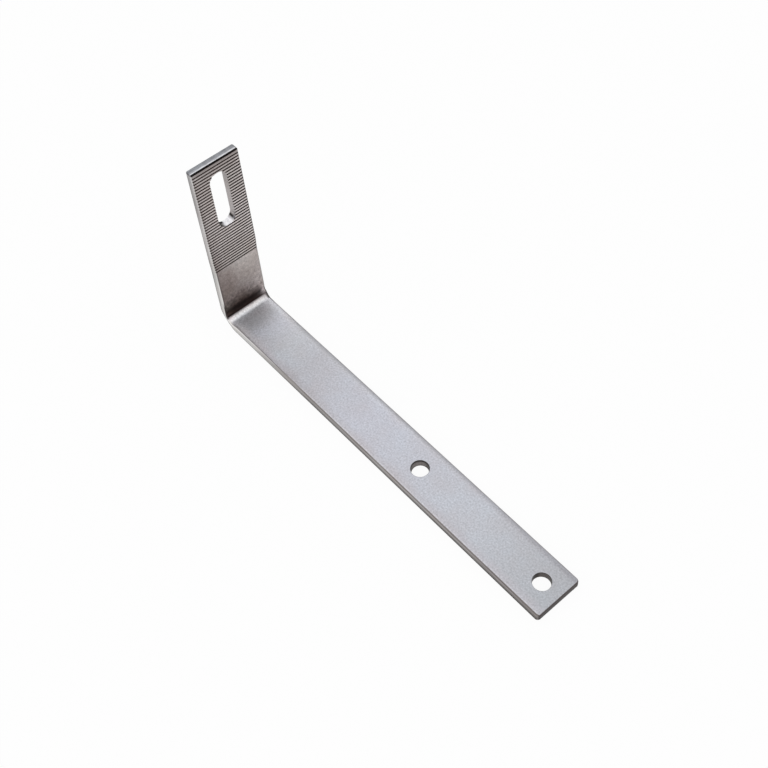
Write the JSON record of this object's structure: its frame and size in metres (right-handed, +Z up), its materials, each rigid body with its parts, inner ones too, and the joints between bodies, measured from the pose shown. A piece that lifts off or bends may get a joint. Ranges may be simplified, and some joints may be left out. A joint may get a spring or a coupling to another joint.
{
  "type": "solar roof hook",
  "caption": "L-shaped roof hook folded from flat stainless bar, with screw holes in its base leg and a serrated, slotted upstand for a rail.",
  "frame": {"origin": "midway between the two screw holes, on the underside of the base leg", "axes": "+X along the base leg to its free end, +Y across the bar, +Z up the upstand"},
  "size_m": [0.26, 0.0312, 0.122],
  "materials": {
    "stainless": "fine satin blasted stainless steel"
  },
  "bodies": {
    "root": {"hook_bar": "stainless"}
  },
  "joints": []
}
